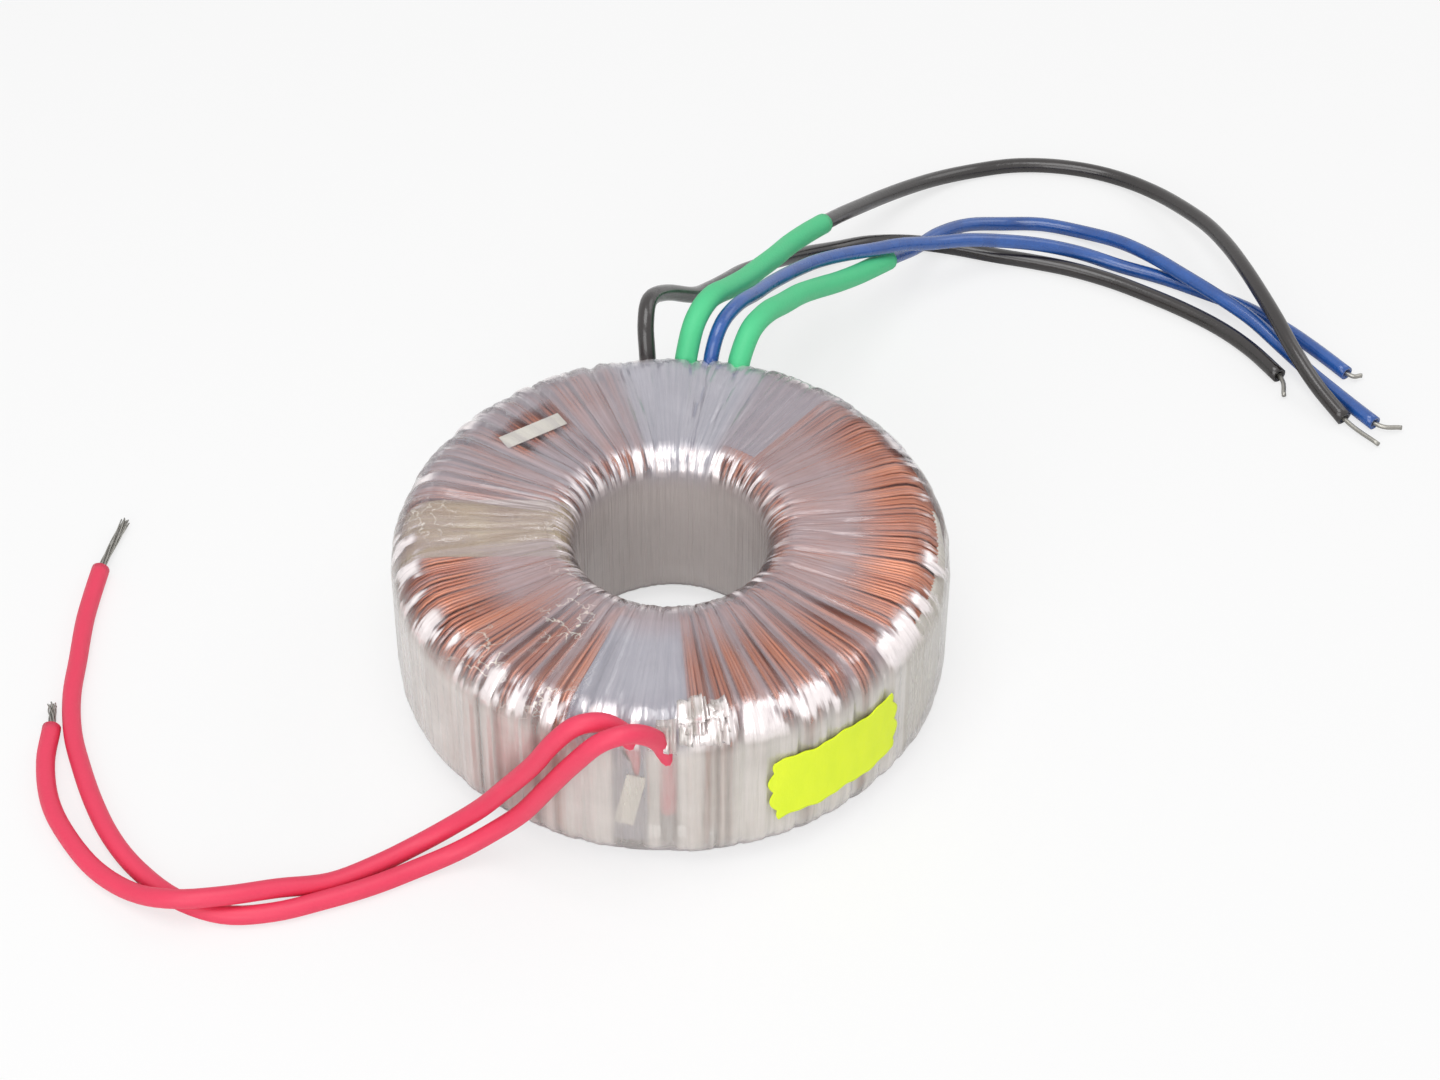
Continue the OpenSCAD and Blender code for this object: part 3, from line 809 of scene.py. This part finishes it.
def tube(name: str, path: list[Vector], radius: float, wall: float | None) -> bpy.types.Object:
    """Draws a tube along a path, hollow if it has a wall.

    Args:
        name: The piece's name.
        path: The centre of each of its rings.
        radius: Its outer radius.
        wall: The thickness of its wall, or None for a solid rod with closed ends.

    Returns:
        The tube as a mesh.
    """
    curve = bpy.data.curves.new(name, "CURVE")
    curve.dimensions = "3D"
    curve.bevel_depth = radius
    curve.bevel_resolution = 6
    curve.use_fill_caps = wall is None
    curve.twist_mode = "MINIMUM"
    spline = curve.splines.new("POLY")
    spline.points.add(len(path) - 1)
    for point, place in zip(spline.points, path):
        point.co = (*place, 1.0)
    obj = bpy.data.objects.new(name, curve)
    bpy.context.scene.collection.objects.link(obj)
    take(obj)
    bpy.ops.object.convert(target="MESH")
    obj = bpy.context.object
    obj.name = obj.data.name = name
    face_out(obj, 0.001 * MM)
    if wall is not None:
        shell = obj.modifiers.new("wall", "SOLIDIFY")
        shell.thickness = wall
        shell.offset = -1.0
        bpy.ops.object.modifier_apply(modifier=shell.name)
    return obj


@dataclass
class Lead:
    """One free lead: its insulation, an outer sleeve on some, and its bare end."""

    name: str
    node: str
    slot: str
    core_node: str
    diameter: float
    wall: float
    length: float
    exit: tuple[float, float, float]
    route: list[tuple[float, float, float]]
    tip: tuple[float, float, float]
    sleeve_node: str | None = None
    sleeve_end: int = 0
    conductor: Conductor = Conductor.SOLID
    steps: int = 5

    def path(self) -> list[Vector]:
        """Gives the lead's centre line in metres, with its low points on the table."""
        low = self.diameter / 2
        raw = [Vector((x * MM, y * MM, max(z * MM, low))) for x, y, z in self.route]
        return smooth_route(raw, self.steps)

    def insulation(self) -> bpy.types.Object:
        """Draws the coloured insulation."""
        obj = tube(self.name, self.path(), self.diameter / 2, self.wall)
        return settle(obj, self.slot, self.node)

    def bare_end(self) -> bpy.types.Object:
        """Draws the wire or the twisted strands that show past the insulation."""
        path = self.path()
        inside = path[-3 * self.steps:]
        tip = Vector(self.tip) * MM
        line = smooth_route([inside[0], inside[len(inside) // 2], inside[-1], tip], 8)
        if self.conductor is Conductor.SOLID:
            obj = tube(self.core_node + "_wire", line, 0.35 * MM, None)
            return settle(obj, "tinned_copper", self.core_node)
        pieces = []
        for strand in range(self.conductor.value):
            turned = []
            for index, place in enumerate(line):
                ahead = (line[min(index + 1, len(line) - 1)] - line[max(index - 1, 0)]).normalized()
                side = ahead.cross(Vector((0, 0, 1))).normalized()
                over = side.cross(ahead)
                share = index / (len(line) - 1)
                ring = 0 if strand == 0 else 1 + (strand > 6)
                turn = strand * 2 * math.pi / 6 + share * 7.0 + ring
                spread = ring * 0.2 * MM * (1 + 0.5 * share ** 6)
                turned.append(place + spread * (math.cos(turn) * side + math.sin(turn) * over))
            pieces.append(tube(f"{self.core_node}_{strand}", turned, 0.1 * MM, None))
        deselect()
        for piece in pieces:
            piece.select_set(True)
        bpy.context.view_layer.objects.active = pieces[0]
        bpy.ops.object.join()
        obj = bpy.context.object
        obj.name = obj.data.name = self.core_node + "_bundle"
        return settle(obj, "tinned_copper", self.core_node)

    def outer_sleeve(self) -> bpy.types.Object:
        """Draws the green sleeve over the first stretch of the lead."""
        path = self.path()[3 * self.steps:self.sleeve_end * self.steps + 1]
        obj = tube(self.sleeve_node + "_tube", path, 1.6 * MM, 0.3 * MM)
        return settle(obj, "green_sleeving", self.sleeve_node)

    def build(self) -> None:
        cord = self.insulation()
        pieces = [self.bare_end()]
        if self.sleeve_node:
            pieces.append(self.outer_sleeve())
        [tuple(p) for p in self.path()]


LEADS = [
    Lead("red_insulation_1", "red_lead_1", "red_insulation", "red_strands_1", 2.6 * MM, 0.75 * MM, 0.1329, (-6.4, -36.3, 25.4), [
        (-4.3, -35.3, 10), (-4.3, -35.3, 15.5), (-4.6, -35.5, 20.5), (-6, -36.2, 24.8),
        (-8.8, -36.8, 27.6), (-12.2, -37.4, 27.6), (-15.2, -37.4, 24.4), (-18, -36.8, 19.5),
        (-21.5, -35.3, 13.8), (-25, -34, 8.5), (-29, -33.5, 4.5), (-33.5, -34.5, 2), (-39, -37.5, 0),
        (-45, -40.5, 0), (-51.5, -42.7, 2.8), (-58, -45, 4.1), (-64.5, -45.5, 4.1), (-70.5, -42.5, 2),
        (-76, -38, 0), (-80.5, -32, 0), (-83.5, -26, 0), (-85, -19, 0), (-85, -12.5, 0)],
         (-85.6, -7.9, 0.9), conductor=Conductor.STRANDED),
    Lead("red_insulation_2", "red_lead_2", "red_insulation", "red_strands_2", 2.6 * MM, 0.75 * MM, 0.1653, (-1.8, -37.2, 24.4), [
        (-0.5, -35.7, 10), (-0.5, -35.7, 15), (-0.6, -35.9, 19), (-1.4, -36.9, 23.5),
        (-3.2, -38.4, 26.8), (-5.8, -39.8, 28.6), (-9.2, -40.2, 27.4), (-12.4, -39.4, 23),
        (-15.8, -38, 17), (-19.5, -36.6, 10.4), (-23.5, -36, 6), (-28.5, -36.5, 2.6),
        (-34, -38.5, 1.4), (-39.5, -41.2, 0), (-45.5, -43.5, 0), (-52, -45.5, 0), (-58.5, -45.8, 0),
        (-65, -43, 0), (-70.5, -38, 0), (-74.5, -32.5, 0), (-77.5, -26.5, 0), (-80, -20, 0),
        (-82, -13.5, 0), (-83, -6.5, 0), (-83, 0.5, 0), (-83, 7.5, 0), (-82.6, 13, 0), (-82, 18.5, 0)],
         (-79.7, 28.9, 0.9), conductor=Conductor.STRANDED),
    Lead("black_tube_1", "black_sleeve_1", "black_sleeving", "black_wire_1", 2.4 * MM, 0.4 * MM, 0.1686, (-3.2, 35.9, 25.2), [
        (-3, 35.5, 9), (-3, 35.5, 15), (-3, 35.5, 20.5), (-3.2, 36, 26.2), (-3.4, 38.4, 30),
        (-2.8, 42.4, 31.2), (-0.4, 47.8, 28), (3.5, 54, 22.4), (6, 59.2, 19.2), (8.5, 64.5, 16.4),
        (11, 70, 13.6), (14, 75, 10.8), (17.5, 80.2, 7.8), (21.5, 85, 5), (26.5, 89.2, 2.6),
        (32, 92, 1.5), (38.5, 92.5, 0), (45, 91.2, 0), (51.5, 89.2, 0), (58, 87.4, 0), (64, 85.4, 0),
        (70, 82.5, 0), (75.5, 79, 0), (81, 75, 0), (86, 70.5, 0), (90, 65.5, 0), (93.5, 59.5, 0)],
         (93.7, 55.2, 0.9)),
    Lead("black_tube_2", "black_sleeve_2", "black_sleeving", "black_wire_2", 2.4 * MM, 0.4 * MM, 0.2075, (2.35, 35.9, 25.6), [
        (2, 35.5, 9), (2, 35.5, 15), (2, 35.5, 20.5), (2.2, 35.75, 23.4), (2.4, 36, 26.2),
        (3.6, 38.8, 30), (5.8, 43.4, 30.6), (8.8, 49.6, 27.4), (11.2, 55, 24.6), (13.5, 60.2, 22.4),
        (15.8, 65.4, 20.2), (18.2, 71, 18), (21, 76.5, 15.8), (24, 82, 13.4), (27, 87.5, 10.8),
        (30.5, 93, 8.2), (34.5, 98.5, 5.8), (39, 103.5, 3.8), (44, 107.8, 2.2), (50, 111, 0),
        (56.5, 112.4, 0), (63, 112.3, 0), (69.5, 110.8, 0), (75, 107.8, 1.5), (79.5, 103.2, 2.4),
        (83, 97.8, 3.6), (86, 92, 4.8), (88.2, 85.8, 5.8), (90, 79.5, 6.4), (91.8, 73.2, 6.4),
        (93.6, 67, 6), (95.6, 61, 4.8), (98.5, 55.2, 2.8), (102, 49.5, 0)],
         (106.4, 44, 0.9), "green_sleeve_1", 13),
    Lead("blue_tube_1", "blue_sleeve_1", "blue_sleeving", "blue_wire_1", 2.2 * MM, 0.4 * MM, 0.157, (5.9, 35.8, 25.4), [
        (5.5, 35.1, 9), (5.5, 35.1, 15), (5.5, 35.1, 20.5), (6, 36, 26.4), (7.4, 39, 29.4),
        (9.8, 43.6, 29.2), (12.6, 49, 26.8), (15.2, 54.4, 24.4), (18.4, 59.8, 22), (22, 65, 19.6),
        (26.2, 69.8, 17), (31, 74.2, 14.4), (36, 78.2, 12.2), (41.2, 81.8, 9.6), (46.8, 85, 7.6),
        (52.8, 87.2, 5.6), (59, 88.2, 4), (65.5, 88, 2.4), (72, 86.2, 0), (78.4, 83.2, 0),
        (84.5, 79.6, 0), (90.4, 75.8, 0), (95.6, 71, 0), (100, 65.6, 0), (104, 60, 0)],
         (106.3, 59.7, 0.9)),
    Lead("blue_tube_2", "blue_sleeve_2", "blue_sleeving", "blue_wire_2", 2.2 * MM, 0.4 * MM, 0.1762, (9.9, 35.0, 25.2), [
        (9.5, 34.2, 9), (9.5, 34.2, 15), (9.5, 34.2, 20.5), (9.75, 34.7, 23.4), (10, 35.2, 26.2),
        (11.6, 38.4, 28.8), (14, 43.2, 28), (16.6, 48.6, 25.2), (19.2, 53.8, 22.6), (22, 58.8, 19.6),
        (25.2, 64, 16.4), (28.6, 69.2, 13.6), (32, 74.6, 11), (34, 77.8, 9.5), (35.6, 80.4, 8.2),
        (39, 85.2, 6), (43, 90.2, 4.8), (48, 94.6, 3), (54, 97.2, 0), (60.2, 97, 0), (66.5, 94.6, 1.4),
        (72, 90.8, 2.4), (76.6, 85.8, 3.4), (81, 80.6, 3.8), (85.6, 75.6, 3.8), (90.4, 70.6, 3.2),
        (94.6, 65.4, 2), (98.6, 60, 0), (102.5, 54.2, 0), (106.5, 48.5, 0)],
         (110.5, 47.7, 0.9), "green_sleeve_2", 13),
]


# ---------------------------------------------------------------------------------------------
# Stage
# ---------------------------------------------------------------------------------------------


@dataclass
class Stage:
    """The camera, the pale floor and the soft lamps."""

    eye: tuple[float, float, float] = (0.0, -0.3233, 0.3353)
    look_at: tuple[float, float, float] = (0.00675, 0.00529, 0.01907)
    roll: float = math.radians(0.46)
    lens: float = 82.87
    lamps: tuple[tuple[tuple[float, float, float], float, float], ...] = (
        ((-0.05, -0.12, 0.62), 0.4, 1.7),
        ((0.5, 0.25, 0.5), 0.4, 0.7),
        ((-0.2, -0.6, 0.3), 0.5, 1.9),
    )
    ambient: float = 0.42
    floor_white: float = 0.7

    def camera(self) -> None:
        """Sets up the camera."""
        data = bpy.data.cameras.new("camera")
        data.lens = self.lens
        data.sensor_width = 36.0
        camera = bpy.data.objects.new("camera", data)
        bpy.context.scene.collection.objects.link(camera)
        toward = Vector(self.look_at) - Vector(self.eye)
        turn = toward.to_track_quat("-Z", "Y").to_matrix().to_4x4()
        camera.matrix_world = Matrix.Translation(self.eye) @ turn @ Matrix.Rotation(self.roll, 4, "Z")
        bpy.context.scene.camera = camera

    def floor(self) -> None:
        """Lays a wide floor that looks white and still takes the shadows."""
        deselect()
        bpy.ops.mesh.primitive_plane_add(size=6.0, location=(0, 0, 0))
        floor = bpy.context.object
        floor.name = "floor"
        n = Nodes("floor")
        seen = n.add("ShaderNodeLightPath", out="Is Camera Ray")
        matt = n.add("ShaderNodeBsdfDiffuse", None, {"Color": (0.9, 0.9, 0.9)})
        white = n.add("ShaderNodeEmission", None, {"Color": (1.0, 1.0, 1.0), "Strength": 1.0})
        both = n.add("ShaderNodeMixShader", None, {0: seen * self.floor_white, 1: matt, 2: white})
        n.tree.links.new(both.socket, n.output.inputs["Surface"])
        floor.data.materials.append(n.material)
        floor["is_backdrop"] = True

    def light(self) -> None:
        """Hangs the soft lamps and lights the world evenly, white to the camera."""
        for index, (place, size, power) in enumerate(self.lamps):
            data = bpy.data.lights.new(f"lamp_{index}", "AREA")
            data.size = size
            data.energy = power
            lamp = bpy.data.objects.new(f"lamp_{index}", data)
            bpy.context.scene.collection.objects.link(lamp)
            lamp.location = place
            lamp.rotation_mode = "QUATERNION"
            lamp.rotation_quaternion = (Vector(place) * -1).to_track_quat("-Z", "Y")
        world = bpy.data.worlds.new("studio")
        bpy.context.scene.world = world
        world.use_nodes = True
        tree = world.node_tree
        background = tree.nodes["Background"]
        background.inputs["Color"].default_value = (1.0, 1.0, 1.0, 1.0)
        path = tree.nodes.new("ShaderNodeLightPath")
        strength = tree.nodes.new("ShaderNodeMapRange")
        strength.inputs["To Min"].default_value = self.ambient
        strength.inputs["To Max"].default_value = 1.0
        either = tree.nodes.new("ShaderNodeMath")
        either.operation = "MAXIMUM"
        tree.links.new(path.outputs["Is Camera Ray"], either.inputs[0])
        tree.links.new(path.outputs["Is Glossy Ray"], either.inputs[1])
        tree.links.new(either.outputs[0], strength.inputs["Value"])
        tree.links.new(strength.outputs[0], background.inputs["Strength"])

    def build(self) -> None:
        """Sets the stage."""
        self.camera()
        self.floor()
        self.light()


def dress(nodes: dict[str, bpy.types.Object], slots: dict[str, str]) -> None:
    """Gives each CAD node that still shows its finish.

    Args:
        nodes: The CAD nodes by name.
        slots: The material slot of each node.
    """
    for name, obj in nodes.items():
        obj.data.materials.clear()
        obj.data.materials.append(bpy.data.materials[slots[name] + "_finish"])
        LOG.info("%s: dressed as %s", name, slots[name])


def slots_of(record: dict) -> dict[str, str]:
    """Reads each node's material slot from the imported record."""
    return {part["node"]: part["material_slot"] for part in record["subparts"]}


def bore_of(record: dict) -> float:
    """Reads the radius of the ring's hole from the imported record, in metres."""
    return next(m["dims"]["r_mm"] for m in record["mounts"] if m["name"] == "centre_hole") * MM


def main() -> None:
    """Loads the frame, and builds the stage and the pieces."""
    logging.basicConfig(level=logging.INFO, format="%(message)s")
    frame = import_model()
    bpy.context.scene.view_settings.view_transform = "Standard"
    for finish in FINISHES.values():
        finish.material()
    Stage().build()
    for lead in LEADS:
        lead.build()
    low, high = (Vector(corner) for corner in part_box("outer_wrap"))
    bore = bore_of(frame["record"])
    Ring(Section(bore, high.x, low.z, high.z, 4.8 * MM, 6.0 * MM)).build()
    dress(frame["nodes"], slots_of(frame["record"]))
    low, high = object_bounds()


if __name__ == "__main__":
    main()
